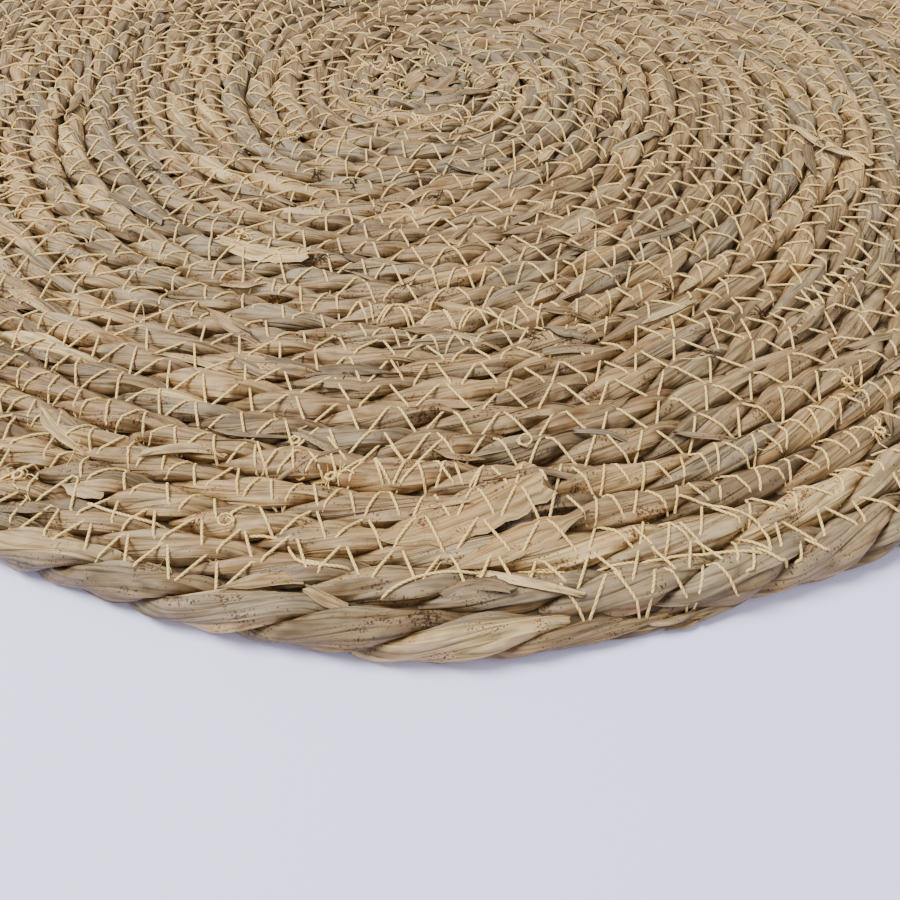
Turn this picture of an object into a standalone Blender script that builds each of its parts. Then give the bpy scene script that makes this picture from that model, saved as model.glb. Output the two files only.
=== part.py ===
"""Round mat: one long twisted rope of dried palm leaf, coiled flat and stitched turn to turn.

Metres, +Z up. The mat lies on z = 0 with its footprint centred on the origin.
The rope is wound anticlockwise as seen from above, so its tail ends on the rim.
"""

import math

import bmesh
import bpy

# Size of the mat
DIAMETER = 0.380
THICKNESS = 0.008
TURNS = 25

# Rope: a line across the mat crosses each turn twice, but the first turn only once
OUTLINE = DIAMETER / 2
PITCH = OUTLINE / (TURNS - 0.5)
GROOVE = 0.0024
SHOULDER = 0.25
UNEVEN = 0.0004

# Tail: where the rope ends on the rim, how much of its section is left there, and the angles
# from the seam at which it starts to thin and at which the other turns move out beside it
TAIL_ANGLE = math.radians(-74)
TAIL_WIDTH = 0.30
TAIL_HEIGHT = 0.60
THIN_FROM = math.radians(342)
GIVE_FROM = math.radians(320)
GIVE_SPAN = math.radians(50)

# Twist of the rope as it shows on the rim
LOBES = 68
LOBE_HEIGHT = 0.0009

# Fineness of the mesh
COLUMNS = 40
INNER_TURNS = 15
RIM_CUTS = 7
SAME_POINT = 1e-5
SAME_ANGLE = 1e-4

# Dried palm leaf
LEAF_COLOUR = (0.366, 0.258, 0.159, 1.0)
LEAF_ROUGHNESS = 0.72


def clear_scene():
    for item in list(bpy.data.objects):
        bpy.data.objects.remove(item, do_unlink=True)


def leaf_material():
    material = bpy.data.materials.new("dried_palm_leaf")
    material.use_nodes = True
    shader = material.node_tree.nodes["Principled BSDF"]
    shader.inputs["Base Color"].default_value = LEAF_COLOUR
    shader.inputs["Roughness"].default_value = LEAF_ROUGHNESS
    shader.inputs["Metallic"].default_value = 0.0
    return material


def section_points():
    """The coil cut along one radius, as (radius in turns, height): out over the top, back below.

    Each turn is half an eight-sided rope above and half below, with a groove on each side.
    """
    top = []
    below = []
    for turn in range(TURNS - 1):
        top += [
            (turn + SHOULDER, THICKNESS),
            (turn + 1 - SHOULDER, THICKNESS),
            (turn + 1, THICKNESS - GROOVE),
        ]
        below += [(turn + SHOULDER, 0.0), (turn + 1 - SHOULDER, 0.0), (turn + 1, GROOVE)]
    return top + below[::-1]


def spun_section(bm):
    """Turn the section once round the axis, and return the vertices of its last column."""
    corners = [bm.verts.new((turns * PITCH, 0.0, height)) for turns, height in section_points()]
    sides = [bm.edges.new(pair) for pair in zip(corners, corners[1:])]
    swept = bmesh.ops.spin(
        bm,
        geom=corners + sides,
        cent=(0, 0, 0),
        axis=(0, 0, 1),
        angle=2 * math.pi,
        steps=COLUMNS,
        use_merge=False,
    )
    return {item for item in swept["geom_last"] if isinstance(item, bmesh.types.BMVert)}


def angle_of(vertex):
    """Angle round the axis from the seam, from 0 up to just under a whole turn."""
    angle = math.atan2(vertex.co.y, vertex.co.x) % (2 * math.pi)
    return 0.0 if 2 * math.pi - angle < SAME_ANGLE else angle


def column_of(vertex):
    return round(angle_of(vertex) * COLUMNS / (2 * math.pi)) % COLUMNS


def thin_inner_turns(bm):
    """Drop every second column near the middle, where the columns run close together."""
    reach = INNER_TURNS * PITCH + SAME_POINT
    spare = []
    for edge in bm.edges:
        first, second = (column_of(vertex) for vertex in edge.verts)
        inside = all(vertex.co.xy.length < reach for vertex in edge.verts)
        if first == second and first % 2 and inside:
            spare.append(edge)
    bmesh.ops.dissolve_edges(bm, edges=spare, use_verts=True, use_face_split=False)


def ease(value):
    """A smooth step from 0 to 1."""
    value = min(max(value, 0.0), 1.0)
    return value * value * (3 - 2 * value)


def thinning(angle):
    """0 along the rope, rising to 1 at the tip of its tail."""
    return ease((angle - THIN_FROM) / (2 * math.pi - THIN_FROM))


def widths_to_rim(angle):
    """Rope widths between the middle and the round outline.

    A plain spiral gains one a turn. Near the tail the turns move out again to close the round.
    """
    given = ease((angle - GIVE_FROM) / GIVE_SPAN)
    given += ease((angle + 2 * math.pi - GIVE_FROM) / GIVE_SPAN) - 1
    return TURNS - 1 + angle / (2 * math.pi) - given


def rim_widths(angle):
    """Rope widths between the middle and the outer side of the last turn, tail and all."""
    tail = 1 - (1 - TAIL_WIDTH) * thinning(angle)
    return TURNS - 2 + angle / (2 * math.pi) + tail


def rim_reach(angle):
    return OUTLINE * rim_widths(angle) / widths_to_rim(angle)


def set_reach(vertex, reach):
    vertex.co.xy = vertex.co.xy.normalized() * reach


def wind_into_spiral(bm, last_column):
    """Push each column out in step with its angle, so a ring ends where the next one starts.

    The last turn thins and flattens to its tail, on the ground and against the turn inside it.
    """
    for vertex in bm.verts:
        angle = 2 * math.pi if vertex in last_column else angle_of(vertex)
        widths = vertex.co.xy.length / PITCH + angle / (2 * math.pi)
        inside = TURNS - 2 + angle / (2 * math.pi)
        if widths > inside + SHOULDER / 2:
            widths = inside + (widths - inside) * (rim_widths(angle) - inside)
            vertex.co.z *= 1 - (1 - TAIL_HEIGHT) * thinning(angle)
        set_reach(vertex, OUTLINE * widths / widths_to_rim(angle))


def close_holes(bm):
    """Cap the rope's start in the middle, above and below, and its end on the rim."""
    open_edges = [edge for edge in bm.edges if edge.is_boundary]
    bmesh.ops.holes_fill(bm, edges=open_edges, sides=0)


def rim_edges(bm):
    """The two edges of the outer wall in each column but the tail's own."""
    found = []
    for edge in bm.edges:
        on_rim = all(abs(v.co.xy.length - rim_reach(angle_of(v))) < SAME_POINT for v in edge.verts)
        if on_rim and column_of(edge.verts[0]) != column_of(edge.verts[1]):
            found.append(edge)
    return found


def lobe_rim(bm):
    """Round the rim off between the columns and swell it where each strand comes to the side."""
    edges = rim_edges(bm)
    cut = bmesh.ops.subdivide_edges(bm, edges=edges, cuts=RIM_CUTS, use_grid_fill=True)
    for item in cut["geom_inner"]:
        if isinstance(item, bmesh.types.BMVert):
            angle = angle_of(item)
            set_reach(item, rim_reach(angle) + LOBE_HEIGHT * abs(math.sin(LOBES * angle / 2)))


def roughen_crests(bm):
    """Raise and lower the rope's upper side a little, as the leaf bundles vary in thickness."""
    for vertex in bm.verts:
        if vertex.co.z > THICKNESS - SAME_POINT:
            angle = angle_of(vertex)
            turns = vertex.co.xy.length / PITCH
            vertex.co.z += UNEVEN * math.sin(5 * angle + 2.3 * turns) * math.cos(3 * angle - 1.1 * turns)


def turn_and_centre(bm):
    """Bring the tail to its place on the rim and the footprint's middle to the origin."""
    for vertex in bm.verts:
        x, y = vertex.co.xy
        vertex.co.x = x * math.cos(TAIL_ANGLE) - y * math.sin(TAIL_ANGLE)
        vertex.co.y = x * math.sin(TAIL_ANGLE) + y * math.cos(TAIL_ANGLE)
    for axis in (0, 1):
        places = [vertex.co[axis] for vertex in bm.verts]
        middle = (min(places) + max(places)) / 2
        for vertex in bm.verts:
            vertex.co[axis] -= middle


def coiled_mat():
    bm = bmesh.new()
    last_column = spun_section(bm)
    thin_inner_turns(bm)
    wind_into_spiral(bm, last_column)
    bmesh.ops.remove_doubles(bm, verts=bm.verts, dist=SAME_POINT)
    close_holes(bm)
    lobe_rim(bm)
    roughen_crests(bm)
    turn_and_centre(bm)
    bmesh.ops.triangulate(bm, faces=bm.faces)
    bmesh.ops.recalc_face_normals(bm, faces=bm.faces)
    mesh = bpy.data.meshes.new("coiled_mat")
    bm.to_mesh(mesh)
    bm.free()
    mesh.shade_smooth()
    mesh.set_sharp_from_angle(angle=math.radians(40))
    mesh.materials.append(leaf_material())
    mat = bpy.data.objects.new("coiled_mat", mesh)
    bpy.context.collection.objects.link(mat)
    return mat


clear_scene()
coiled_mat()
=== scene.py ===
# %% [markdown]
# # A round mat of twisted palm leaf rope
# The real mat is made from one long rope. Strips of dried palm leaf are twisted into two
# strands, the strands are laid round each other, and the rope is coiled flat and sewn turn
# to turn with a zigzag of cotton thread. This lesson builds it in the same order: rope,
# stitches, loose leaf ends, then the table, the light and the camera.

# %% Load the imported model, which fixes the size and the place of everything
import math

import bmesh
import bpy
import numpy as np
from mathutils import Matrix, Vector
from mathutils.bvhtree import BVHTree


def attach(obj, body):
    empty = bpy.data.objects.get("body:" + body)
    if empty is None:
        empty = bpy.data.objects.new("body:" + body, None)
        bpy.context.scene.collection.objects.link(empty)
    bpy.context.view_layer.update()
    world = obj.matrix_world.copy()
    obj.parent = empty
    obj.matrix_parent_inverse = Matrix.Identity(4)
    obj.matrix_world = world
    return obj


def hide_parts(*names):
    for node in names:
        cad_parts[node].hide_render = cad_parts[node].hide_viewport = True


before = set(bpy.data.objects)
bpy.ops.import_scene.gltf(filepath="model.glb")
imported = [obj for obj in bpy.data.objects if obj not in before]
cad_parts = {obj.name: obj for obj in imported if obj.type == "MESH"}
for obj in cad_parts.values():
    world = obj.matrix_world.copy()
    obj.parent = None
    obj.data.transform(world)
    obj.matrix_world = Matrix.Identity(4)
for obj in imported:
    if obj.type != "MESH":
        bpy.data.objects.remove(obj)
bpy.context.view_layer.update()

# %% [markdown]
# ## Sizes
# Everything follows from the width of one turn of rope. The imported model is 49 rope widths
# across, because the rope makes 24 whole turns round a curl in the middle.

# %% Sizes of the rope and of the coil, in metres
MM = 0.001
NODE = "coiled_mat"
TURN = 2 * math.pi
ROPE_TURNS = 24
OUTLINE = 190 * MM
PITCH = OUTLINE / (ROPE_TURNS + 0.5)
ROPE_HALF = 3.95 * MM
MAT_TOP = 8 * MM

# The tail: its place on the rim, what is left of the rope's size there, the angle at which
# the rope starts to thin, and the stretch in which the other turns move out beside it
TAIL_ANGLE = math.radians(-74)
TAIL_WIDTH = 0.30
THIN_FROM = math.radians(342)
GIVE_FROM = math.radians(320)
GIVE_SPAN = math.radians(50)


def smooth_step(value):
    value = np.clip(value, 0, 1)
    return value * value * (3 - 2 * value)


def give(turned):
    """How much wider than a plain spiral the coil is at an angle, to close the round outline."""
    angle = turned % TURN
    given = smooth_step((angle - GIVE_FROM) / GIVE_SPAN)
    given = given + smooth_step((angle + TURN - GIVE_FROM) / GIVE_SPAN) - 1
    return (ROPE_TURNS + 0.5) / (ROPE_TURNS + angle / TURN - given)


def rope_end(turned):
    """What is left of the rope's size at an angle, less than 1 only at the tail."""
    last = ROPE_TURNS * TURN
    thinned = smooth_step((turned - last + TURN - THIN_FROM) / (TURN - THIN_FROM))
    return 1 - (1 - TAIL_WIDTH) * thinned


def rim_reach(turned):
    """Distance from the coil's middle to its rim on a plain spiral, tail and all."""
    angle = turned % TURN
    size = rope_end((ROPE_TURNS - 1) * TURN + angle)
    return PITCH * (ROPE_TURNS - 1 + angle / TURN + size)


def coil_middle():
    """Where the coil's middle lies when the footprint of its rim is centred on the origin."""
    angle = np.linspace(0, TURN, 721)[:-1]
    reach = rim_reach(angle) * give(angle)
    middle = []
    for side in (np.cos, np.sin):
        places = reach * side(TAIL_ANGLE + angle)
        middle.append(-(places.min() + places.max()) / 2)
    return middle


MIDDLE_X, MIDDLE_Y = coil_middle()
print("coil middle", round(MIDDLE_X / MM, 2), round(MIDDLE_Y / MM, 2), "mm from the footprint's")

# %% [markdown]
# ## The course of the rope
# A flat coil is a spiral whose radius grows by one rope width each turn. Its length up to a
# given turn is a quadratic in the angle, so the angle at a given length is found by solving
# that quadratic. Slow random wandering keeps the turns from looking drawn with a compass.

# %% Spiral, and a smooth random wander along a length

# The turns drift off a true spiral in slow and quick waves, by these shares of a millimetre,
# and less in the middle and at the rim
SLOW_WAVES = (83 * MM, 97 * MM)
QUICK_WAVES = (49 * MM, 61 * MM)
SLOW_SHARE = 0.75
QUICK_SHARE = 0.5
CALM_MIDDLE = 40 * MM
CALM_RIM = 186 * MM
CALM_FADE = 30 * MM


def spiral(along, pitch, first_radius):
    """Angle from the seam and radius, at each length along a spiral."""
    square = pitch / (2 * TURN)
    turned = (-first_radius + np.sqrt(first_radius**2 + 4 * square * along)) / (2 * square)
    return turned, first_radius + pitch * turned / TURN


def spiral_length(pitch, first_radius, turned):
    return first_radius * turned + pitch * turned**2 / (2 * TURN)


def wander(along, spacing, seed):
    """A smooth random curve between -1 and 1, with a bend about every spacing metres."""
    step = along / spacing + 1.0
    values = np.random.default_rng(seed).uniform(-1, 1, int(step.max()) + 3)
    base = np.floor(step).astype(int)
    part = step - base
    part = part * part * (3 - 2 * part)
    return values[base] * (1 - part) + values[base + 1] * part


def drift(x, y):
    """How far the turns near a place lie off a true spiral, in metres, outwards."""
    slow = np.sin(TURN * x / SLOW_WAVES[0] + 1.3) * np.cos(TURN * y / SLOW_WAVES[1] + 0.4)
    quick = np.sin(TURN * (x + y) / QUICK_WAVES[0])
    quick = quick * np.cos(TURN * (x - 0.6 * y) / QUICK_WAVES[1] + 2.0)
    reach = np.hypot(x, y)
    fade = np.clip(reach / CALM_MIDDLE, 0, 1) * np.clip((CALM_RIM - reach) / CALM_FADE, 0, 1)
    return (SLOW_SHARE * slow + QUICK_SHARE * quick) * MM * fade


def place(turned, radius, height):
    """Points of the coil, from the angle, the radius and the height of each."""
    reach = radius * give(turned)
    x = reach * np.cos(TAIL_ANGLE + turned)
    y = reach * np.sin(TAIL_ANGLE + turned)
    out = drift(x, y) / np.maximum(np.hypot(x, y), MM)
    return np.stack([x * (1 + out) + MIDDLE_X, y * (1 + out) + MIDDLE_Y, height], axis=-1)


ROPE_LENGTH = spiral_length(PITCH, PITCH / 2, ROPE_TURNS * TURN)
print("rope", round(ROPE_LENGTH, 2), "m long")

# %% [markdown]
# ## A tube from a rolled grid
# Strands and thread are both long tubes whose section changes all the way. Extruding them
# ring by ring would take thousands of steps, so one grid is made instead, its long sides are
# welded together, and its points are moved to their places. The grid's own UV map then runs
# along and round the tube in metres, which the leaf fibres and the thread's twist follow.

# %% Roll a grid into a tube
UV = "along_and_round"


def new_object(name, data):
    item = bpy.data.objects.new(name, data)
    bpy.context.collection.objects.link(item)
    return item


def finish_mesh(bm, name, material, sharp=45):
    mesh = bpy.data.meshes.new(name)
    bm.to_mesh(mesh)
    bm.free()
    mesh.shade_smooth()
    mesh.set_sharp_from_angle(angle=math.radians(sharp))
    mesh.materials.append(material)
    return new_object(name, mesh)


def rolled_grid(bm, points, length, girth, shade=None, strip=None):
    """Roll a grid into a tube. points[j, i] is point j of the section at station i.

    The seam is welded later. The shade of each point and the strip tone of each face may be
    given in the same layout, and are kept as attributes.
    """
    round_it, along_it = points.shape[:2]
    uv = bm.loops.layers.uv.get(UV) or bm.loops.layers.uv.new(UV)
    seam = bm.verts.layers.int.get("seam") or bm.verts.layers.int.new("seam")
    shades = bm.verts.layers.float.get("shade") or bm.verts.layers.float.new("shade")
    strips = bm.faces.layers.float.get("strip") or bm.faces.layers.float.new("strip")
    cells = {"x_segments": along_it - 1, "y_segments": round_it}
    corners = bmesh.ops.create_grid(bm, **cells, size=1.0, calc_uvs=True)["verts"]
    places = np.concatenate([points, points[:1]]).reshape(-1, 3).tolist()
    for corner, at in zip(corners, places):
        corner.co = at
    if shade is not None:
        for corner, value in zip(corners, np.concatenate([shade, shade[:1]]).ravel().tolist()):
            corner[shades] = value
    for row in range(round_it):
        for step in range(along_it - 1):
            at = row * along_it + step
            across = at + along_it
            four = (corners[at], corners[at + 1], corners[across + 1], corners[across])
            face = bm.faces.get(four)
            if strip is not None:
                face[strips] = strip[row, step]
            for loop in face.loops:
                loop[uv].uv = (loop[uv].uv.x * length, loop[uv].uv.y * girth)
    first_seam = 1 + max((corner[seam] for corner in bm.verts), default=0)
    for step in range(along_it):
        corners[step][seam] = first_seam + step
        corners[step - along_it][seam] = -first_seam - step


def close_tubes(bm):
    """Weld every tube's seam, cap its ends and turn all faces outwards."""
    seam = bm.verts.layers.int["seam"]
    kept = {corner[seam]: corner for corner in bm.verts if corner[seam] > 0}
    pairs = {corner: kept[-corner[seam]] for corner in bm.verts if corner[seam] < 0}
    bmesh.ops.weld_verts(bm, targetmap=pairs)
    bm.verts.layers.int.remove(bm.verts.layers.int["seam"])
    bmesh.ops.holes_fill(bm, edges=[edge for edge in bm.edges if edge.is_boundary], sides=0)
    bmesh.ops.recalc_face_normals(bm, faces=bm.faces)


def tube_piece(name, material, tubes, sharp=45):
    """One piece made of tubes, each given as the keywords of rolled_grid."""
    bm = bmesh.new()
    for tube in tubes:
        rolled_grid(bm, **tube)
    close_tubes(bm)
    piece = finish_mesh(bm, name, material, sharp)
    print(name, len(piece.data.polygons), "faces")
    return piece


# %% [markdown]
# ## Materials
# Dried palm leaf is matt to softly waxy: a thin, smooth skin over long parallel fibres. No
# two strips have the same tone, from grey tan to straw, and small brown specks and stains
# lie across them. The pattern follows each strip, so it reads the UV map in metres, and the
# tone of each strip is an attribute that the strand's making leaves on its faces.

# %% Colours, and functions that add nodes


def linear(hexcode):
    """An sRGB hex colour as linear values with alpha."""
    parts = [int(hexcode[i : i + 2], 16) / 255 for i in (1, 3, 5)]
    return [c / 12.92 if c <= 0.04045 else ((c + 0.055) / 1.055) ** 2.4 for c in parts] + [1.0]


def fill(material, item, inputs):
    """Link the inputs of a node to the outputs of others, or give them values."""
    for socket, value in inputs.items():
        if isinstance(value, bpy.types.NodeSocket):
            material.node_tree.links.new(value, item.inputs[socket])
        else:
            item.inputs[socket].default_value = value


def add(material, kind, inputs, out=0, stops=(), **settings):
    """Add a node with its settings, fill its inputs, and give back one output."""
    item = material.node_tree.nodes.new(kind)
    for name, value in settings.items():
        setattr(item, name, value)
    for number, (position, colour) in enumerate(stops):
        found = item.color_ramp.elements
        stop = found[number] if number < 2 else found.new(position)
        stop.position = position
        stop.color = linear(colour)
    fill(material, item, inputs)
    return item.outputs[out]


def maths(material, operation, *values, **settings):
    values = dict(enumerate(values))
    return add(material, "ShaderNodeMath", values, operation=operation, **settings)


def ramp(material, value, *stops):
    """Colour that a value has between a few stops."""
    return add(material, "ShaderNodeValToRGB", {"Fac": value}, stops=stops)


def multiplied(material, share, colour, layer):
    """Multiply a colour by a layer, as far as the share from 0 to 1 says."""
    mix = {0: share, 6: colour, 7: layer}
    return add(material, "ShaderNodeMix", mix, out=2, data_type="RGBA", blend_type="MULTIPLY")


def new_material(name):
    material = bpy.data.materials.new(name)
    material.use_nodes = True
    return material, material.node_tree.nodes["Principled BSDF"]


# %% Dried palm leaf: matt with a faint waxy gloss, and lines that follow each strip
LEAF_TONES = (
    (0.00, "#77654A"),
    (0.16, "#8F7855"),
    (0.32, "#A18760"),
    (0.48, "#8E8169"),
    (0.64, "#A58B64"),
    (0.80, "#B89B6C"),
    (0.92, "#9A8A6C"),
    (1.00, "#D6BA86"),
)

# Size of each pattern across the leaf and along it, and how finely it is broken up
LEAF_PATTERNS = {
    "fibres": (0.5 * MM, 16 * MM, 3.0),
    "folds": (1.9 * MM, 32 * MM, 1.0),
    "blotches": (2.6 * MM, 8 * MM, 3.0),
    "clusters": (4.0 * MM, 7 * MM, 2.0),
    "specks": (0.34 * MM, 0.48 * MM, 1.0),
}

# A fold's dark line, painted shade in its crease: how thin it is, and how strongly it shows
FOLD_SHARPNESS = 9.0
FOLD_LINE_SHARE = 0.62

# The fine dots: the space between them, and how their size grows with the clusters
DOT_CELL = 0.95 * MM
DOT_GROWTH = 0.6
DOT_LEAST = 0.34

# Colour that multiplies the strip's tone where each pattern is low and high
LEAF_MARKS = (
    ("fibres", 0.66, ((0.34, "#8A775A"), (0.50, "#F2EADC"), (0.60, "#FFFFFF"))),
    ("blotches", 0.60, ((0.36, "#B0AEA8"), (0.50, "#FFFFFF"), (0.72, "#D6B684"))),
)


def palm_leaf():
    leaf, shader = new_material("dried_palm_leaf_strips")
    where = add(leaf, "ShaderNodeUVMap", {}, uv_map=UV)
    strip = add(leaf, "ShaderNodeAttribute", {}, out="Fac", attribute_name="strip")
    shade = add(leaf, "ShaderNodeAttribute", {}, out="Fac", attribute_name="shade")
    apart = {0: (91, 57, 33), "Scale": strip}
    apart = add(leaf, "ShaderNodeVectorMath", apart, operation="SCALE")

    def pattern_space(along, across):
        """The UV map scaled to a pattern's size, and moved to another place for each strip."""
        scaled = add(leaf, "ShaderNodeMapping", {0: where, "Scale": (1 / along, 1 / across, 1)})
        return add(leaf, "ShaderNodeVectorMath", {0: scaled, 1: apart}, operation="ADD")

    pattern = {}
    for name, (across, along, detail) in LEAF_PATTERNS.items():
        settings = {"Vector": pattern_space(along, across), "Scale": 1.0}
        settings.update({"Detail": detail, "Roughness": 0.6})
        pattern[name] = add(leaf, "ShaderNodeTexNoise", settings, out="Fac")

    tone = ramp(leaf, strip, *LEAF_TONES)
    for name, share, stops in LEAF_MARKS:
        tone = multiplied(leaf, share, tone, ramp(leaf, pattern[name], *stops))

    # A fold is a thin dark line where its noise passes its middle value: painted shade in the
    # fold's crease
    off = maths(leaf, "ABSOLUTE", maths(leaf, "SUBTRACT", pattern["folds"], 0.5))
    ridge = maths(leaf, "MULTIPLY", off, FOLD_SHARPNESS, use_clamp=True)
    line = ramp(leaf, ridge, (0.0, "#766045"), (0.22, "#E6DAC4"), (0.40, "#FFFFFF"))
    tone = multiplied(leaf, FOLD_LINE_SHARE, tone, line)

    # Brown stains and fine dark dots come in clusters: each dot is the middle of a cell, and
    # the dots grow where the clusters are dense
    dense = maths(leaf, "MULTIPLY", pattern["clusters"], pattern["specks"])
    stains = ramp(leaf, dense, (0.350, "#FFFFFF"), (0.390, "#A4835A"))
    cells = {"Vector": pattern_space(DOT_CELL, DOT_CELL), "Scale": 1.0}
    cells = add(leaf, "ShaderNodeTexVoronoi", cells, out="Distance")
    size = maths(leaf, "MULTIPLY_ADD", pattern["clusters"], -DOT_GROWTH, cells)
    size = maths(leaf, "ADD", size, DOT_LEAST)
    dots = ramp(leaf, size, (0.12, "#8A785E"), (0.20, "#FFFFFF"))

    # Painted shade: the shade attribute darkens the leaf in the creases between lobes, beside the
    # next turn and under loose strips, and gives torn fibres their own darker colour
    dark = ramp(leaf, shade, (0.0, "#FFFFFF"), (0.5, "#B8A589"), (1.0, "#605446"))
    for layer in (stains, dots, dark):
        tone = multiplied(leaf, 1.0, tone, layer)

    rough = maths(leaf, "MULTIPLY_ADD", pattern["fibres"], 0.35, 0.42)
    fine = {"Height": pattern["fibres"], "Strength": 0.8, "Distance": 0.30 * MM}
    fine = add(leaf, "ShaderNodeBump", fine)
    folds = {"Height": ridge, "Strength": 0.8, "Distance": 0.22 * MM, "Normal": fine}
    folds = add(leaf, "ShaderNodeBump", folds)
    looks = {"Base Color": tone, "Roughness": rough, "Specular IOR Level": 0.36}
    fill(leaf, shader, {**looks, "Normal": folds})
    return leaf


LEAF = palm_leaf()

# %% [markdown]
# ## The two strands of the rope
# A strand is a bundle of about three flat strips, each tucked under the next, so its outline
# is a rounded half oval with a small step at each strip's edge. The two half ovals turn
# round each other once every lay length, which gives the slanting lobes. The strips also
# creep round their own strand, so each comes into view for a few lobes and goes under again.

# %% Sizes of a strand
STATION = 2.0 * MM
LAY = 38 * MM
LAY_VARIES = 0.24
COUNTER_TWIST = 0.86

# The strips in a strand, the places across a strip where its section bends, the step at its
# edges, and how far its middle, its folds and the valley between them stand up or sink
STRIPS = 3
STRIP_POINTS = (0.0, 0.08, 0.33, 0.52, 0.74, 1.0)
EDGE_STEP = 0.26 * MM
CROWN = 0.14 * MM
FOLD = 0.16 * MM
VALLEY = 0.34 * MM

# A strand's half oval as shares of the rope's half width: how far its middle lies from the
# rope's, its half sizes outwards and sideways, and how square its corners are
OFFSET_SHARE = 0.46
OUT_SHARE = 0.55
SIDE_SHARE = 1.0
FULLNESS = 2.5

# How much the rope and each strand vary in thickness, and how much fuller the last turn is
ROPE_VARIES = 0.06
STRAND_VARIES = 0.09
RIM_FULLER = 0.03
LIFT_VARIES = 0.18 * MM

# The painted shade starts this deep in the rope, and this near to the next turn
CREASE_FROM = 0.86
CREASE_DEPTH = 0.34
BESIDE_FROM = 0.78
BESIDE_DEPTH = 0.30
BESIDE_SHADE = 0.75

# Half the width that the next turns leave, the tapers at both ends, and how far the tail
# moves in against the turn inside it. The rope's start is thin too, but stays in its place.
SQUEEZE = 0.545 * PITCH
START_TAPER = 12 * MM
TIP_TAPER = 16 * MM
HUG = 0.66 * PITCH
FIRST_METRE = 1.0


def lay_angle(along):
    """How far the strands have turned round each other, with a lay length that wanders."""
    fine = np.arange(0, ROPE_LENGTH + STATION, STATION)
    rate = TURN / (LAY * (1 + LAY_VARIES * wander(fine, 0.11, 11)))
    return np.interp(along, fine, np.cumsum(rate) * STATION)


def strip_bounds(along, which):
    """Angle round the strand at which each strip starts, and the height of its step there.

    The bundles are twisted one way and laid the other, so a strip nearly keeps facing up.
    """
    creep = 1.1 * wander(along, 0.10, 21 + which) - COUNTER_TWIST * lay_angle(along)
    starts = []
    steps = []
    for strip in range(STRIPS):
        sway = 0.30 * wander(along, 0.065, 31 + 7 * strip + which)
        starts.append(TURN * (strip + sway) / STRIPS + creep + 1.9 * which)
        steps.append(EDGE_STEP * wander(along, 0.05, 61 + 5 * strip + which))
    starts.append(starts[0] + TURN)
    steps.append(steps[0])
    return starts, steps


def strand_section(along, which, twist):
    """Distance and angle from the strand's middle of each section point, and strip numbers."""
    starts, steps = strip_bounds(along, which)
    angles = []
    lifts = []
    numbers = []
    for strip in range(STRIPS):
        fold_a = FOLD * wander(along, 0.019, 91 + 3 * strip + which)
        fold_b = FOLD * wander(along, 0.023, 111 + 3 * strip + which)
        heights = (
            -steps[strip],
            -0.75 * steps[strip] + 0.3 * CROWN,
            CROWN + fold_a,
            CROWN - VALLEY * np.clip(wander(along, 0.033, 131 + 3 * strip + which) + 0.3, 0, 1),
            CROWN + fold_b,
            steps[strip + 1],
        )
        facing = (starts[strip] + starts[strip + 1]) / 2 + twist
        passes = np.floor((facing + math.pi / 2) / TURN).astype(int)
        for share, lift in zip(STRIP_POINTS, heights):
            angles.append(starts[strip] + (starts[strip + 1] - starts[strip]) * share)
            lifts.append(lift)
            numbers.append(passes * 2 * STRIPS + strip * 2 + which)
    angles = np.array(angles)
    out = np.abs(np.cos(angles)) / OUT_SHARE
    side = np.abs(np.sin(angles)) / SIDE_SHARE
    oval = (out**FULLNESS + side**FULLNESS) ** (-1 / FULLNESS)
    return oval + np.array(lifts) / ROPE_HALF, angles, np.array(numbers)


def saturated(value, limit, power=8):
    """The value, held softly within plus and minus the limit."""
    return value / (1 + np.abs(value / limit) ** power) ** (1 / power)


def strand_points(along, which):
    """Points, painted shade and strip numbers of one strand along a stretch of the rope."""
    turned, radius = spiral(along, PITCH, PITCH / 2)
    twist = lay_angle(along) + math.pi * which
    reach, angles, numbers = strand_section(along, which, twist)
    left = rope_end(turned)
    rim = smooth_step((turned - (ROPE_TURNS - 2) * TURN - THIN_FROM) / (TURN - THIN_FROM))
    size = ROPE_HALF * (1 + ROPE_VARIES * wander(along, 0.045, 12) + RIM_FULLER * rim)
    size = size * (1 + STRAND_VARIES * wander(along, 0.031, 14 + which))
    ends = left * (0.7 + 0.3 * smooth_step(along / START_TAPER))
    ends = ends * (0.25 + 0.75 * smooth_step((ROPE_LENGTH - along) / TIP_TAPER))
    size = size * ends
    outward = (OFFSET_SHARE + reach * np.cos(angles)) * size
    sideways = reach * np.sin(angles) * size
    across = outward * np.cos(twist) - sideways * np.sin(twist)
    up = outward * np.sin(twist) + sideways * np.cos(twist)

    # Painted shade: darker deep in the rope's creases and on the side that lies against the next
    # turn, where shade falls
    hull = np.hypot(across, up) / (ROPE_HALF * ends)
    crease = np.clip((CREASE_FROM - hull) / CREASE_DEPTH, 0, 1)
    beside = smooth_step((np.abs(across) / SQUEEZE - BESIDE_FROM) / BESIDE_DEPTH)
    beside = beside * np.where(across > 0, 1 - rim, 1.0)
    shade = np.clip(np.maximum(crease, BESIDE_SHADE * beside), 0, 1)

    squeezed = saturated(across, SQUEEZE)
    across = np.where(across > 0, squeezed * (1 - rim) + across * rim, squeezed)
    hug = (1 - ends) * HUG * smooth_step(along - FIRST_METRE)
    lift = LIFT_VARIES * wander(along, 0.06, 17)
    height = np.maximum(ROPE_HALF * ends + up + lift, 0.0)
    points = place(turned, radius - hug + across, height)
    return points, shade, numbers


# %% [markdown]
# ## Three lengths of rope
# The real rope is one piece. Here it is cut into three lengths that meet end to end, so that
# no piece has too many faces. Each strip that comes into view takes the next tone of a
# shuffled list.

# %% Make the strands, three lengths of both
ROPE_PIECES = ("inner", "middle", "outer")
STRIP_TONES = np.random.default_rng(5).permutation(np.linspace(0, 1, 997))
STRAND_GIRTH = TURN * 0.8 * ROPE_HALF


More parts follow.
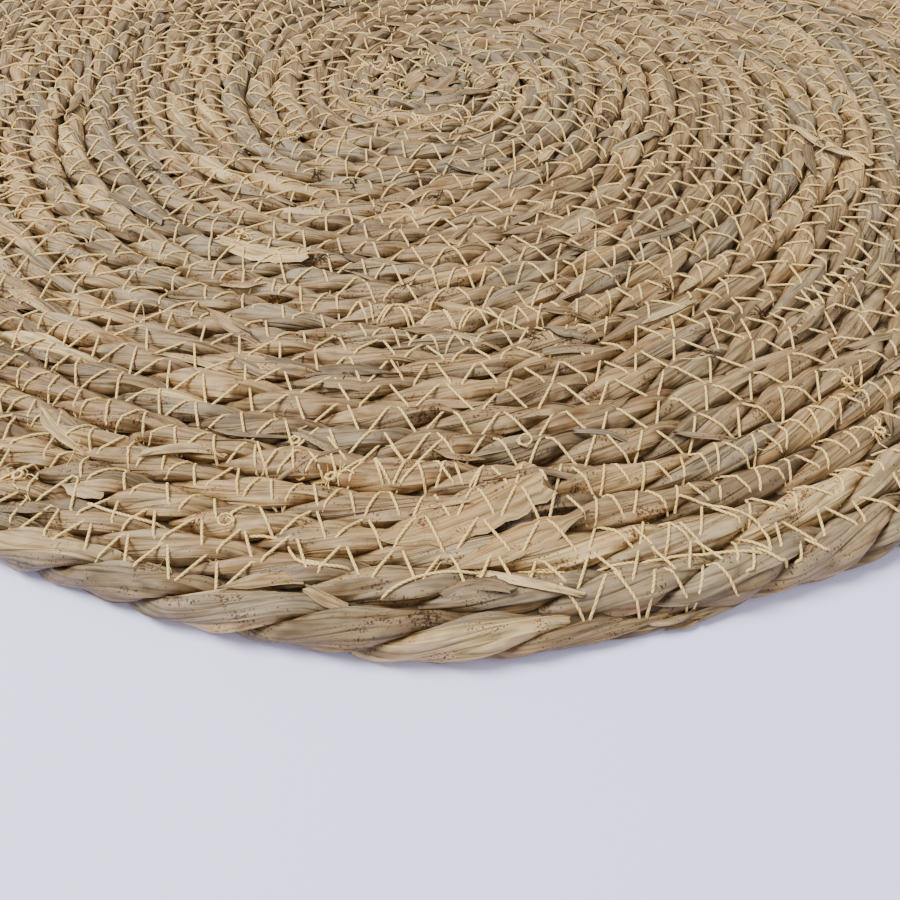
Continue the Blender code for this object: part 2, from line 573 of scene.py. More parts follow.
def strand_tube(along, which):
    """One strand along a stretch of the rope, as the keywords of rolled_grid."""
    points, shade, numbers = strand_points(along, which)
    tones = STRIP_TONES[numbers % len(STRIP_TONES)][:, 1:]
    size = {"length": along[-1] - along[0], "girth": STRAND_GIRTH}
    return {"points": points, "shade": shade, "strip": tones, **size}


rope_pieces = []
rope_shells = []
stations = int(ROPE_LENGTH / STATION)
for number, part in enumerate(ROPE_PIECES):
    first = stations * number // len(ROPE_PIECES)
    last = stations * (number + 1) // len(ROPE_PIECES)
    along = np.arange(first, last + 1) * STATION
    tubes = [strand_tube(along, which) for which in (0, 1)]
    rope_pieces.append(tube_piece("leaf_rope_" + part, LEAF, tubes))
    rope_shells += [tube["points"] for tube in tubes]

# %% [markdown]
# ## The rope's surface as something to lie on
# Thread and loose leaf lie on the rope, so their heights are read from it. A ray dropped
# from above finds the surface at any place.

# %% A search tree over the strands
ABOVE = 30 * MM
GAP_HEIGHT = 3 * MM


def shell_tree(shells):
    corners = []
    quads = []
    base = 0
    for points in shells:
        rows, columns = points.shape[:2]
        corners.append(points.reshape(-1, 3))
        index = base + np.arange(rows * columns).reshape(rows, columns)
        beyond = np.roll(index, -1, axis=0)
        quad = np.stack([index[:, :-1], index[:, 1:], beyond[:, 1:], beyond[:, :-1]], axis=-1)
        quads.append(quad.reshape(-1, 4))
        base += rows * columns
    return BVHTree.FromPolygons(np.concatenate(corners).tolist(), np.concatenate(quads).tolist())


rope_tree = shell_tree(rope_shells)


def surface_height(places):
    """Height of the rope's upper side at each place.

    A ray that falls through a gap stops a little above the table, and past the rim on it.
    """
    found = []
    for x, y in places[..., :2].reshape(-1, 2).tolist():
        hit = rope_tree.ray_cast((x, y, ABOVE), (0, 0, -1))[0]
        inside = math.hypot(x - MIDDLE_X, y - MIDDLE_Y) < ROPE_TURNS * PITCH
        found.append(hit.z if hit else (GAP_HEIGHT if inside else 0.0))
    return np.array(found).reshape(places.shape[:-1])


def tight(heights):
    """The lowest line over each row of heights that a stretched thread can take."""
    line = heights.copy()
    count = heights.shape[1]
    for start in range(count):
        for end in range(start + 2, count):
            for between in range(start + 1, end):
                share = (between - start) / (end - start)
                chord = heights[:, start] * (1 - share) + heights[:, end] * share
                line[:, between] = np.maximum(line[:, between], chord)
    return line


def towards(angle):
    """A step of one metre at an angle, or one step for each of many angles."""
    return np.stack([np.cos(angle), np.sin(angle)], axis=-1)


def spot(turns, degrees):
    """Place on the mat, from rope widths to the middle and an angle."""
    return np.array([MIDDLE_X, MIDDLE_Y]) + turns * PITCH * towards(np.radians(degrees))


# %% [markdown]
# ## Loose leaf ends
# A strip of leaf is shorter than the rope, so everywhere one runs out: its end, torn or
# pointed, lies over the lobes and points along the rope. Each is a flat tube whose upper side
# follows the rope below it, stiff along its length as dry leaf is.

# %% A strip of leaf laid on the rope

# The points of its section, above and below, as shares of half its width
SLIVER_ACROSS = np.array([-1.0, -0.5, 0.0, 0.5, 1.0])
SLIVER_BELOW = np.array([0.9, 0.0, -0.9])

# Shares of its width or length: how far the edges droop, the strip bends and its ends narrow,
# how much the width varies, and how far the ends are torn
SLIVER_DROOP = 0.13
SLIVER_BEND = 0.10
SLIVER_TAPER = 0.35
SLIVER_UNEVEN = 0.12
TORN_SHARE = 0.10
TORN_MOST = 1.3 * MM

# Its thickness and roughness, the painted shade of its lower side, and how low it may lie
LEAF_THICK = 0.32 * MM
SLIVER_ROUGH = 0.12 * MM
UNDER_SHADE = 0.6
LOWEST = 0.1 * MM

# A strip wider than this lies flatter, moved by this share to its highest point
WIDE = 4 * MM
FLATNESS = 0.4
ANY_HEIGHT = (0, 2 * MAT_TOP)


def sliver(
    rng, turns, degrees, heading, length, width, tone, tips, rise, stations=8, band=ANY_HEIGHT
):
    """One strip as the keywords of rolled_grid, with its middle at turns and degrees.

    tips are the shares of the width left at the two ends, and rise says how far each end
    stands off the rope, or is tucked into it where that is negative. The band holds the
    heights it may lie at: with a low band it runs into the rope's side instead of over it.
    """
    share = np.linspace(0, 1, stations)
    ahead = np.array([math.cos(heading), math.sin(heading)])
    aside = np.array([-ahead[1], ahead[0]])
    bend = rng.uniform(-SLIVER_BEND, SLIVER_BEND) * length
    half = tips[0] + (1 - tips[0]) * smooth_step(share / SLIVER_TAPER)
    half = np.minimum(half, tips[1] + (1 - tips[1]) * smooth_step((1 - share) / SLIVER_TAPER))
    half = half * (1 + SLIVER_UNEVEN * rng.uniform(-1, 1, stations)) * width / 2
    around = np.concatenate([SLIVER_ACROSS, SLIVER_BELOW])
    along = np.tile((share - 0.5) * length, (len(around), 1))
    torn = rng.uniform(-1, 1, (5, 2)) * min(TORN_SHARE * length, TORN_MOST)
    along[:5, 0] += torn[:, 0]
    along[:5, -1] += torn[:, 1]
    along[5:, 0] = along[[4, 2, 0], 0]
    along[5:, -1] = along[[4, 2, 0], -1]
    sideways = around[:, None] * half + bend * (1 - (2 * share - 1) ** 2)
    flat = spot(turns, degrees) + along[..., None] * ahead + sideways[..., None] * aside
    ground = np.clip(surface_height(flat[:5]), *band)
    stiff = tight(ground[1:4].max(axis=0)[None])[0]
    if width > WIDE:
        stiff = (1 - FLATNESS) * stiff + FLATNESS * stiff.max()
    lifted = rise[0] * (1 - share) ** 3 + rise[1] * share**3
    droop = SLIVER_DROOP * width * around[:, None] ** 2 * (half / half.max())
    height = stiff + lifted - droop + SLIVER_ROUGH * rng.uniform(-1, 1, (len(around), 1))
    height = height + LEAF_THICK * np.where(np.arange(len(around)) < 5, 1.0, 0.0)[:, None]
    points = np.concatenate([flat, np.maximum(height, LOWEST)[..., None]], axis=-1)
    strip = np.full((len(around), stations - 1), tone)
    # Painted shade: the strip's lower side is darker, as the shade under it
    shade = np.zeros(points.shape[:2])
    shade[5:] = UNDER_SHADE
    return {"points": points, "length": length, "girth": 2 * width, "shade": shade, "strip": strip}


# %% [markdown]
# ## Wide scraps
# A few scraps of leaf, the widest of them wider than the rope, lie across it under the
# stitches. Each has one place, so they are a table. They come before the thread, which is
# sewn over them.

# %% The wide scraps
SCRAP_STATIONS = 16
SCRAPS = (
    # rope widths out, angle, heading, length and width in mm, tone, tips, rise of both ends in mm
    (21.55, -88.1, 24, 31.0, 9.5, 0.80, (0.45, 1.00), (0.4, 1.7)),
    (12.6, -115.3, 6, 24.0, 6.0, 1.00, (0.50, 1.00), (0.1, 1.6)),
    (14.85, -20.9, 60, 26.0, 3.2, 1.00, (0.90, 0.80), (1.4, 1.0)),
    (22.55, -85.3, 21.5, 27.0, 6.0, 0.80, (0.10, 0.20), (-0.4, 0.2)),
    (6.9, -141.0, -30, 9.0, 4.0, 0.92, (0.9, 0.5), (0.8, -0.3)),
    (10.7, -66.0, 22, 19.0, 6.4, 0.94, (0.10, 0.10), (-0.4, -0.4)),
    (12.5, 62.0, 15, 26.0, 5.0, 0.80, (0.2, 0.9), (0.0, 0.6)),
    (20.4, 140.0, -12, 30.0, 6.0, 0.64, (0.9, 0.2), (0.6, 0.0)),
    (17.3, 205.0, 20, 24.0, 4.5, 0.92, (0.2, 0.9), (0.0, 0.7)),
)


def direction(degrees, heading):
    """Angle on the table of a strip that lies at a heading from the rope's own direction."""
    return math.radians(degrees + 90 - heading)


scraps = []
for number, (turns, degrees, heading, length, width, tone, tips, rise) in enumerate(SCRAPS):
    rng = np.random.default_rng(800 + number)
    length, width = length * MM, width * MM
    rise = (rise[0] * MM, rise[1] * MM)
    turned = direction(degrees, -heading)
    looks = (length, width, tone, tips, rise)
    strip = sliver(rng, turns, degrees, turned, *looks, stations=SCRAP_STATIONS)
    scraps.append(strip)
    rope_shells.append(strip["points"])

rope_tree = shell_tree(rope_shells)

# %% [markdown]
# ## Cotton thread
# The thread is two plies of undyed cotton, soft and matt, wound round each other about once
# a millimetre. At the size of the whole mat the plies are a fine slanting line, so they are
# a wave on the thread's own UV map and not modelled.

# %% Two-ply cotton thread
THREAD = 0.56 * MM
HALF_THREAD = 0.5 * THREAD
PLY_PITCH = 0.95 * MM


def cotton_thread():
    cotton, shader = new_material("undyed_cotton_thread")
    where = add(cotton, "ShaderNodeUVMap", {}, uv_map=UV)
    scale = (1 / PLY_PITCH, 2 / (math.pi * THREAD), 1.0)
    scaled = add(cotton, "ShaderNodeMapping", {"Vector": where, "Scale": scale})
    slant = {0: scaled, 1: (1, 1, 0)}
    slant = add(cotton, "ShaderNodeVectorMath", slant, out=1, operation="DOT_PRODUCT")
    wave = maths(cotton, "SINE", maths(cotton, "MULTIPLY", slant, TURN))
    wave = maths(cotton, "MULTIPLY_ADD", wave, 0.5, 0.5)
    # Painted shade: the thread is darker in the grooves between the plies and lighter on their
    # crowns
    colour = ramp(cotton, wave, (0.0, "#B8934F"), (0.55, "#EFCF88"))
    bump = add(cotton, "ShaderNodeBump", {"Height": wave, "Strength": 0.6, "Distance": 0.08 * MM})
    fill(cotton, shader, {"Base Color": colour, "Roughness": 0.65, "Normal": bump})
    return cotton


COTTON = cotton_thread()

# %% [markdown]
# ## The zigzag stitch
# The thread follows a spiral of its own, a little closer than the rope's, and crosses it
# from side to side. Each leg is pulled tight: it starts and ends sunk in the leaf and
# touches only the highest points between, as a string over a bumpy road does.

# %% Lay tight legs over the rope
ROW_PITCH = 0.87 * PITCH
ROW_START = 1.43 * PITCH
ROW_TURNS = 25.94
HALF_STITCH = 4.75 * MM
REACH = 0.43 * PITCH
TIP_HALF = 0.7 * MM
TIP_REACH = 1.04
RIM_MARGIN = 0.22 * PITCH
LEG_POINTS = 6

# How much the stitch length varies, slowly along the row and from stitch to stitch
STITCH_VARIES = 0.24
STITCH_UNEVEN = 0.16

# How high a leg lies over the leaf, how deep it sinks at its outer and inner ends, how much
# deeper the tip between two legs does, and how high the tips of the underside come
LEG_LIFT = 0.42 * THREAD
OUTER_DIP = 0.75 * MM
INNER_DIP = 0.35 * MM
TIP_DEEPER = 1.2
BELOW_TIP = 1.6 * MM
BELOW_BESIDE_TIP = 1.0 * MM


def stitch_tips(length, seed):
    """Lengths along the row at which the thread turns, uneven as a fast machine leaves them."""
    rng = np.random.default_rng(seed)
    count = int(length / (0.7 * HALF_STITCH))
    rough = np.arange(count) * HALF_STITCH
    steps = HALF_STITCH * (1 + STITCH_VARIES * wander(rough, 0.30, seed + 1))
    steps = steps * rng.uniform(1 - STITCH_UNEVEN, 1 + STITCH_UNEVEN, count)
    tips = np.cumsum(steps)
    return tips[tips < length - 2 * HALF_STITCH]


def zigzag(row_pitch, first, length, seed, below=False, legs=LEG_POINTS, start=0.0):
    """Path of one row of stitches along a spiral that begins at an angle from the seam."""
    rng = np.random.default_rng(seed)
    tips = stitch_tips(length, seed)
    side = np.where(np.arange(len(tips)) % 2, 1.0, -1.0)
    swing = side * REACH * rng.uniform(0.86, 1.1, len(tips))
    gap = TIP_HALF * rng.uniform(0.5, 1.3, len(tips))
    share = np.linspace(0, 1, legs)
    starts = (tips + gap)[:-1, None]
    ends = (tips - gap)[1:, None]
    along = starts + (ends - starts) * share
    offset = swing[:-1, None] + (swing[1:] - swing[:-1])[:, None] * share
    along = np.concatenate([along, tips[1:, None]], axis=1)
    offset = np.concatenate([offset, swing[1:, None] * TIP_REACH], axis=1)
    turned, radius = spiral(along, row_pitch, first)
    reach = np.minimum(radius + offset, rim_reach(start + turned) - RIM_MARGIN)
    flat = place(start + turned, reach, np.zeros_like(radius))
    if below:
        heights = np.full(along.shape, HALF_THREAD)
        heights[:, -1] = BELOW_TIP
        heights[:, [0, -2]] = BELOW_BESIDE_TIP
    else:
        ground = surface_height(flat)
        heights = ground + LEG_LIFT
        dip = np.where(side > 0, OUTER_DIP, INNER_DIP)
        heights[:, 0] = ground[:, 0] - dip[:-1] * rng.uniform(0.4, 1.1, len(tips) - 1)
        heights[:, -2] = ground[:, -2] - dip[1:] * rng.uniform(0.4, 1.1, len(tips) - 1)
        heights[:, :-1] = tight(heights[:, :-1])
        heights[:, -1] = ground[:, -1] - TIP_DEEPER * dip[1:]
    flat[..., 2] = np.maximum(heights, HALF_THREAD)
    return flat.reshape(-1, 3)


def thread_tube(path, width, sides, shade=0.0):
    """A round tube along a path of points, as the keywords of rolled_grid."""
    ahead = np.gradient(path, axis=0)
    ahead = ahead / np.maximum(np.linalg.norm(ahead, axis=1, keepdims=True), 1e-9)
    aside = np.cross(ahead, (0.0, 0.0, 1.0))
    aside = aside / np.maximum(np.linalg.norm(aside, axis=1, keepdims=True), 1e-9)
    above = np.cross(aside, ahead)
    angles = np.arange(sides) * TURN / sides
    ring = aside * np.cos(angles)[:, None, None] + above * np.sin(angles)[:, None, None]
    points = path[None] + ring * width / 2
    length = np.linalg.norm(np.diff(path, axis=0), axis=1).sum()
    shades = np.full(points.shape[:2], shade)
    return {"points": points, "length": length, "girth": math.pi * width, "shade": shades}


def thread_piece(name, paths, sides=5):
    """One piece of cotton, from paths that each have their thread's width."""
    tubes = [thread_tube(path, width, sides) for path, width in paths]
    return tube_piece(name, COTTON, tubes, sharp=80)


row_length = spiral_length(ROW_PITCH, ROW_START, ROW_TURNS * TURN)
stitches = zigzag(ROW_PITCH, ROW_START, row_length, seed=201)
half = len(stitches) // 2
thread_pieces = [
    thread_piece("stitching_inner", [(stitches[: half + 1], THREAD)]),
    thread_piece("stitching_outer", [(stitches[half:], THREAD)]),
]
under = zigzag(ROW_PITCH, ROW_START, row_length, seed=301, below=True, legs=3)
thread_pieces.append(thread_piece("stitching_below", [(under, THREAD)], sides=4))
print("zigzag row", round(row_length, 2), "m long")

# %% [markdown]
# ## Rows sewn twice, floats and curls of thread
# Where the machine was stopped and started, it sewed the same stretch twice, and pulled the
# thread from one row to the next. Those stretches are single places, so they are a short
# table of where each lies: how many rope widths from the middle, and at what angle.

# %% Extra thread
SEWN_TWICE = (
    # rope widths from the middle, angle in degrees, length in mm
    (23.75, -85, 64),
    (20.5, -105, 62),
    (19.95, -100, 40),
    (14.5, -102, 58),
    (15.5, -97, 34),
    (22.6, -80, 26),
    (17.2, -55, 40),
    (9.2, 35, 40),
    (21.5, 120, 60),
    (16.5, 200, 50),
)
FLOATS = (
    ((23.1, -97.3), (23.2, -95.6), (23.14, -94.4)),
    ((23.83, -92.7), (23.48, -91.2), (23.3, -89.6), (23.23, -87.2), (23.07, -86.1)),
    ((23.07, -86.1), (23.19, -84.2), (23.2, -82.1), (23.24, -80.4), (23.35, -78.8)),
    ((23.35, -78.8), (23.4, -76.6), (23.6, -74.5), (23.9, -72.3)),
    ((21.84, -75.3), (22.17, -73.9), (22.78, -72.1), (23.3, -71.5), (23.9, -71.9)),
    ((14.12, -95.5), (14.06, -92.0), (14.15, -87.9), (14.67, -84.1), (15.46, -80.3)),
    ((22.74, -110.9), (22.79, -109.1), (22.77, -107.1), (22.68, -105.3)),
    ((22.59, -100.8), (22.57, -99.8), (22.53, -98.8)),
    ((22.67, -98.3), (23.11, -97.5), (23.22, -96.6), (23.2, -95.6)),
    ((20.4, -38.0), (20.9, -36.6), (21.6, -36.0), (22.3, -36.4)),
    ((9.1, 62.0), (9.3, 70.0), (9.0, 79.0), (8.6, 86.0)),
    ((18.2, 150.0), (18.5, 153.0), (18.4, 156.5)),
)
CURLS = ((19.62, -83.6), (22.43, -102.1), (17.9, 31.0), (20.8, 171.0))

# A row sewn twice hardly spirals. A float bends at every step, lies a little over the leaf
# and sinks in at both ends.
TWICE_PITCH = 0.05 * PITCH
FLOAT_STEP = 1.2 * MM
FLOAT_LIFT = 0.55 * THREAD
FLOAT_SINK = 0.8 * MM

# A curl: its sweep in turns, how much tighter it ends, how level it lies and how far it rises
CURL_SIZE = 1.5 * MM
CURL_POINTS = 14
CURL_SWEEP = (-0.2, 1.25)
CURL_TIGHTENS = 0.7
CURL_LEVEL = 0.6
CURL_RISE = 0.5


def smooth_line(corners, step):
    """Points along a smooth curve through a few corners."""
    corners = np.asarray(corners)
    start = 2 * corners[:1] - corners[1:2]
    end = 2 * corners[-1:] - corners[-2:-1]
    padded = np.concatenate([start, corners, end])
    found = []
    for before, first, second, after in zip(padded, padded[1:], padded[2:], padded[3:]):
        count = max(2, int(np.linalg.norm(second - first) / step))
        t = np.linspace(0, 1, count, endpoint=False)[:, None]
        bend = (2 * before - 5 * first + 4 * second - after) * t**2
        twist = (3 * first - before - 3 * second + after) * t**3
        found.append(0.5 * (2 * first + (second - before) * t + bend + twist))
    return np.concatenate(found + [corners[-1:]])


def laid(line, lift, sink=FLOAT_SINK):
    """Lay a flat line on the rope, stretched over its bumps and sunk at both ends."""
    ground = surface_height(line)
    window = np.stack([np.roll(ground, shift)[2:-2] for shift in (-2, -1, 0, 1, 2)])
    height = ground.copy()
    height[2:-2] = 0.5 * window.max(axis=0) + 0.5 * window.mean(axis=0)
    height = height + lift
    height[[0, -1]] -= sink
    return np.concatenate([line, np.maximum(height, HALF_THREAD)[:, None]], axis=1)


def curl(centre, size, seed):
    """A loose loop that stands a little off the rope."""
    rng = np.random.default_rng(seed)
    turned = np.linspace(*CURL_SWEEP, CURL_POINTS) * TURN + rng.uniform(0, TURN)
    shrink = np.linspace(1.0, CURL_TIGHTENS, CURL_POINTS)
    flat = centre + size * shrink[:, None] * towards(turned)
    path = laid(flat, 0.4 * THREAD)
    path[:, 2] = path[:, 2].max() * CURL_LEVEL + path[:, 2] * (1 - CURL_LEVEL)
    path[1:-1, 2] += size * CURL_RISE * np.sin(np.linspace(0, math.pi, CURL_POINTS - 2))
    return path


extra = []
for number, (turns, degrees, length) in enumerate(SEWN_TWICE):
    start = math.radians(degrees) - TAIL_ANGLE
    row = zigzag(TWICE_PITCH, turns * PITCH, length * MM, 400 + number, start=start)
    extra.append((row, THREAD))
for corners in FLOATS:
    line = smooth_line([spot(*corner) for corner in corners], FLOAT_STEP)
    extra.append((laid(line, FLOAT_LIFT), THREAD))
for number, corner in enumerate(CURLS):
    extra.append((curl(spot(*corner), CURL_SIZE, 500 + number), 0.7 * THREAD))

# %% [markdown]
# ## The crowded middle
# The coil starts with a tight knot of leaf that was sewn over many times, so the middle shows
# more thread than rope. Short arcs of thread are scattered there with a fixed seed.

# %% Thread over the coil's middle
MIDDLE_REACH = 3.4 * PITCH
MIDDLE_THREADS = 74
middle_rng = np.random.default_rng(611)
for _ in range(MIDDLE_THREADS):
    reach = MIDDLE_REACH * math.sqrt(middle_rng.uniform(0, 1))
    around = middle_rng.uniform(0, 360)
    heading = math.radians(around) + middle_rng.normal(0, 0.7)
    span = middle_rng.uniform(2.2, 5.2) * MM
    ahead = np.array([math.cos(heading), math.sin(heading)])
    aside = np.array([-ahead[1], ahead[0]]) * middle_rng.uniform(-0.35, 0.35) * span
    centre = spot(reach / PITCH, around)
    line = smooth_line([centre - ahead * span, centre + aside, centre + ahead * span], FLOAT_STEP)
    extra.append((laid(line, 0.45 * THREAD), THREAD * middle_rng.uniform(0.75, 1.0)))

# %% [markdown]
# ## Frayed thread
# A knot ends in a tuft of loose cotton: a few short bent hairs from one point, three-sided
# because they are so thin. Single hairs lie all over the mat as well.

# %% Knots and hairs of cotton
KNOTS = (
    (19.67, -100.1),
    (20.64, -96.9),
    (20.36, -57.9),
    (22.02, -59.8),
    (12.37, -120.2),
    (22.76, -115.8),
    (7.0, -140.0),
    (17.2, 95.0),
    (10.6, 170.0),
    (23.0, 20.0),
)
KNOT_SIZE = 1.1 * MM
KNOT_TUFT = (4.2 * MM, 0.24 * MM)
HAIRS = 11
HAIR_POINTS = 4
HAIR_BEND = 1.6
HAIR_SPREAD = 0.35 * MM
HAIR_SINK = 0.3 * MM
LOOSE_HAIRS = 150
LOOSE_WIDTH = 0.16 * MM
LOOSE_SPREAD = 3.2 * MM


def tuft(rng, centre, length, width):
    """Hairs that start at one point of the rope and bend over."""
    hairs = []
    for _ in range(HAIRS):
        heading = rng.uniform(0, TURN)
        turn_by = rng.uniform(-HAIR_BEND, HAIR_BEND)
        share = np.linspace(0, 1, HAIR_POINTS)
        reach = length * rng.uniform(0.35, 1.0) * share
        away = towards(heading + turn_by * share) * reach[:, None]
        flat = centre + rng.normal(0, HAIR_SPREAD, 2) + away
        rise = surface_height(flat)
        rise = np.maximum(rise, rise[0] - 1 * MM) + reach * rng.uniform(0.0, 0.7) * (1.3 - share)
        rise[0] -= HAIR_SINK
        rise = np.maximum(rise, width)
        hairs.append((np.concatenate([flat, rise[:, None]], axis=1), width))
    return hairs


cotton_hairs = []
for number, corner in enumerate(KNOTS):
    rng = np.random.default_rng(700 + number)
    cotton_hairs += tuft(rng, spot(*corner), *KNOT_TUFT)
    extra.append((curl(spot(*corner), KNOT_SIZE, 720 + number), THREAD))
hair_rng = np.random.default_rng(750)
for _ in range(LOOSE_HAIRS):
    turns = ROPE_TURNS * math.sqrt(hair_rng.uniform(0, 1))
    corners = [spot(turns, hair_rng.uniform(0, 360))]
    for _ in range(2):
        corners.append(corners[-1] + hair_rng.normal(0, LOOSE_SPREAD, 2))
    line = smooth_line(corners, 2.0 * MM)
    cotton_hairs.append((laid(line, hair_rng.uniform(0.1, 0.6) * MM, 0.4 * MM), LOOSE_WIDTH))
thread_pieces.append(thread_piece("loose_thread", extra))
thread_pieces.append(thread_piece("frayed_thread", cotton_hairs, sides=3))

# %% [markdown]
# ## Small leaf ends
# The narrow ends come last, because they push out between the stitches. Most point along
# the rope, one way or the other, and stand off it a little at the tip.

# %% Many small ends, folds that close the middle, and the frayed tail
SMALL_ENDS = 300
ENDS_REACH = 24.2

# Folds: their rope widths from the middle, the part of a turn between two, and their heights
MIDDLE_FOLDS = 20
FOLD_PLACES = (0.05, 0.5, 1.1, 1.8, 2.5)
FOLD_STEP = 0.382
FOLD_BAND = (0.72 * MAT_TOP, ANY_HEIGHT[1])

# Strips of the tail: the angle of the first and the step to the next, in degrees
TAIL_STRIPS = 12
TAIL_FROM = -81.0
TAIL_STEP = 0.55
end_rng = np.random.default_rng(850)
for _ in range(SMALL_ENDS):
    turns = ENDS_REACH * math.sqrt(end_rng.uniform(0.008, 1))
    degrees = end_rng.uniform(0, 360)
    heading = end_rng.normal(0, 17) + 180 * end_rng.integers(0, 2)
    length = end_rng.uniform(6, 19) * MM
    width = end_rng.uniform(1.1, 3.3) * MM
    tips = (0.8, end_rng.choice([0.05, 0.1, 0.7]))
    rise = (-1.3 * MM, end_rng.uniform(-0.1, 1.1) * MM)
    looks = (length, width, end_rng.uniform(0, 1), tips, rise)
    scraps.append(sliver(end_rng, turns, degrees, direction(degrees, heading), *looks))

# Folded ends that close the middle of the coil
for number in range(MIDDLE_FOLDS):
    turns = FOLD_PLACES[number % len(FOLD_PLACES)]
    degrees = 360 * (number * FOLD_STEP)
    turned = math.radians(degrees) + end_rng.normal(1.2, 0.5)
    length = end_rng.uniform(8, 14) * MM
    width = end_rng.uniform(2.8, 4.6) * MM
    rise = (-0.5 * MM, end_rng.uniform(0, 0.9) * MM)
    looks = (length, width, end_rng.uniform(0.1, 0.9), (0.7, 0.2), rise)
    scraps.append(sliver(end_rng, turns, degrees, turned, *looks, band=FOLD_BAND))

# Strips fray out of the rope's tail, low against the side of the turn inside it
for number in range(TAIL_STRIPS):
    degrees = TAIL_FROM + TAIL_STEP * number + end_rng.uniform(-0.3, 0.3)
    turned = math.radians(degrees) - TAIL_ANGLE + ROPE_TURNS * TURN
    turns = turned / TURN * give(turned) + end_rng.uniform(0.05, 0.22)
    heading = direction(degrees, end_rng.normal(-2, 4))
    length = end_rng.uniform(6, 12) * MM
    width = end_rng.uniform(0.9, 2.0) * MM
    low = end_rng.uniform(0.6, 2.8) * MM
    rise = (0.0, end_rng.uniform(0.0, 0.4) * MM)
    tone = end_rng.uniform(0.2, 1.0)
    tips = (0.6, end_rng.choice([0.1, 0.5]))
    looks = (length, width, tone, tips, rise)
    scraps.append(sliver(end_rng, turns, degrees, heading, *looks, band=(0.7 * low, low)))

scrap_piece = tube_piece("loose_leaf_ends", LEAF, scraps)

# %% [markdown]
# ## Torn fibre
# Where a strip is torn, its coarse fibres stand out in tufts, in the leaf's darkest tone.

# %% Tufts of brown fibre
TORN_PLACES = 60
TORN_TUFT = (3.4 * MM, 0.26 * MM)
TORN_SHADE = 0.45
torn_hairs = []
for _ in range(TORN_PLACES):
    turns = ROPE_TURNS * math.sqrt(end_rng.uniform(0.01, 1))
    torn_hairs += tuft(end_rng, spot(turns, end_rng.uniform(0, 360)), *TORN_TUFT)
fibres = [thread_tube(path, width, 3, TORN_SHADE) for path, width in torn_hairs]
fibre_piece = tube_piece("torn_leaf_fibre", LEAF, fibres)
leaf_pieces = rope_pieces + [scrap_piece, fibre_piece]

# %% [markdown]
# ## The dark heart of the rope
# Between the lobes one looks into the rope, where more leaf lies in shadow. A thin copy of the
# imported model, pressed flat and drawn in from the rim, closes those gaps, and its dark brown
# colour is painted shade.

# %% Press a copy of the imported model flat
HEART_PRESS = (0.985, 0.985, 0.32)


def rope_heart():
    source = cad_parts[NODE].data
    bm = bmesh.new()
    bm.from_mesh(source)
    bmesh.ops.remove_doubles(bm, verts=bm.verts, dist=1e-6)
    middle = (MIDDLE_X, MIDDLE_Y, MAT_TOP / 2)
    for corner in bm.verts:
        for axis in range(3):
            away = corner.co[axis] - middle[axis]
            corner.co[axis] = middle[axis] + away * HEART_PRESS[axis]
    bmesh.ops.recalc_face_normals(bm, faces=bm.faces)
    material, shader = new_material("leaf_inside_rope_painted_shade")
    where = add(material, "ShaderNodeTexCoord", {}, out="Object")
    noise = {"Vector": where, "Scale": 1 / (3 * MM), "Detail": 3.0}
    noise = add(material, "ShaderNodeTexNoise", noise, out="Fac")
    # Painted shade: the heart is dark brown as the shadow inside the rope looks, not as the leaf
    # itself is
    colour = ramp(material, noise, (0.3, "#3A2E21"), (0.7, "#564735"))
    looks = {"Base Color": colour, "Roughness": 1.0, "Specular IOR Level": 0.05}
    fill(material, shader, looks)
    return finish_mesh(bm, "leaf_heart_in_painted_shade", material)


heart = rope_heart()

# %% [markdown]
# ## Table and light
# The mat lies on pale, faintly blue paper. The light is soft daylight from the upper left,
# with a weak fill from the right: two round white lights that face the origin.

# %% Table, lights and the air around
TABLE_COLOUR = "#E2E0FF"
TABLE_DROP = 0.05 * MM
AIR_COLOUR = "#F3F4FF"
AIR_STRENGTH = 0.68
LIGHTS = (
    # name, place in metres, diameter, watts
    ("window_above_from_left", (-0.68, -0.04, 1.10), 0.70, 33.5),
    ("fill_from_right", (0.9, -0.5, 0.9), 1.2, 5),
)


def table():
    bm = bmesh.new()
    bmesh.ops.create_grid(bm, x_segments=1, y_segments=1, size=3.0)
    for corner in bm.verts:
        corner.co.z = -TABLE_DROP
    material, shader = new_material("pale_matt_paper")
    fill(material, shader, {"Base Color": linear(TABLE_COLOUR), "Roughness": 0.8})
    return finish_mesh(bm, "table", material)


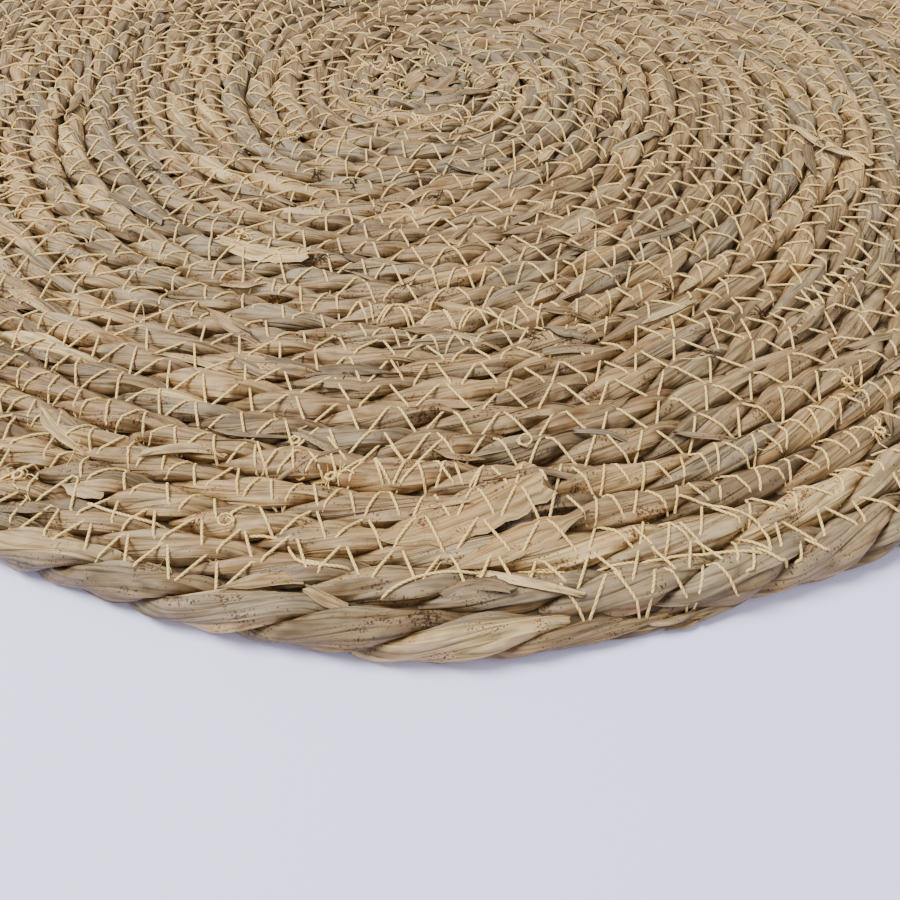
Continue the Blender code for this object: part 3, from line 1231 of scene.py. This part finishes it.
table()
for name, position, size, watts in LIGHTS:
    lamp = bpy.data.lights.new(name, "AREA")
    lamp.shape = "DISK"
    lamp.size = size
    lamp.energy = watts
    holder = new_object(name, lamp)
    holder.location = position
    holder.rotation_euler = (-Vector(position)).to_track_quat("-Z", "Y").to_euler()
world = bpy.data.worlds.new("studio_air")
world.use_nodes = True
air = world.node_tree.nodes["Background"]
fill(world, air, {"Color": linear(AIR_COLOUR), "Strength": AIR_STRENGTH})
bpy.context.scene.world = world
print("table and", len(LIGHTS), "lights")

# %% [markdown]
# ## The camera
# The photograph looks down on the front of the mat at 48.5 degrees. The camera is turned to
# that angle, and then moved until the coil's middle falls on its pixel in the photograph.

# %% Camera, with the focal length and the middle's place in pixels
CAMERA_TILT = math.radians(48.5)
CAMERA_FAR = 36.97 * PITCH
CAMERA_F = 855
MIDDLE_AT = (441, 78)
IMAGE = 900

lens = bpy.data.cameras.new("camera")
lens.sensor_width = 36
lens.lens = CAMERA_F / IMAGE * lens.sensor_width
lens.clip_start = 0.005
across = (MIDDLE_AT[0] - IMAGE / 2) / CAMERA_F
above = (IMAGE / 2 - MIDDLE_AT[1]) / CAMERA_F
depth = CAMERA_FAR / math.sqrt(1 + across**2 + above**2)
sight = Vector((0, math.cos(CAMERA_TILT), -math.sin(CAMERA_TILT)))
upward = Vector((0, math.sin(CAMERA_TILT), math.cos(CAMERA_TILT)))
target = Vector((MIDDLE_X, MIDDLE_Y, MAT_TOP))
eye = Vector((1, 0, 0)) * across + upward * above + sight
camera = new_object("camera", lens)
camera.location = target - eye * depth
camera.rotation_euler = (math.pi / 2 - CAMERA_TILT, 0, 0)
bpy.context.scene.camera = camera
print("camera at", [round(v, 4) for v in camera.location], "lens", round(lens.lens, 1))

# %% [markdown]
# ## What each piece is to the imported model
# Every piece moves with the mat's one body. The leaf stands for the imported model's solid, and
# the thread is added to it.

# %% Attach every piece to the mat's one body, and hide the imported solid
for piece in leaf_pieces + thread_pieces + [heart]:
    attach(piece, "root")
for piece in leaf_pieces + [heart]:
    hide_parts(NODE)
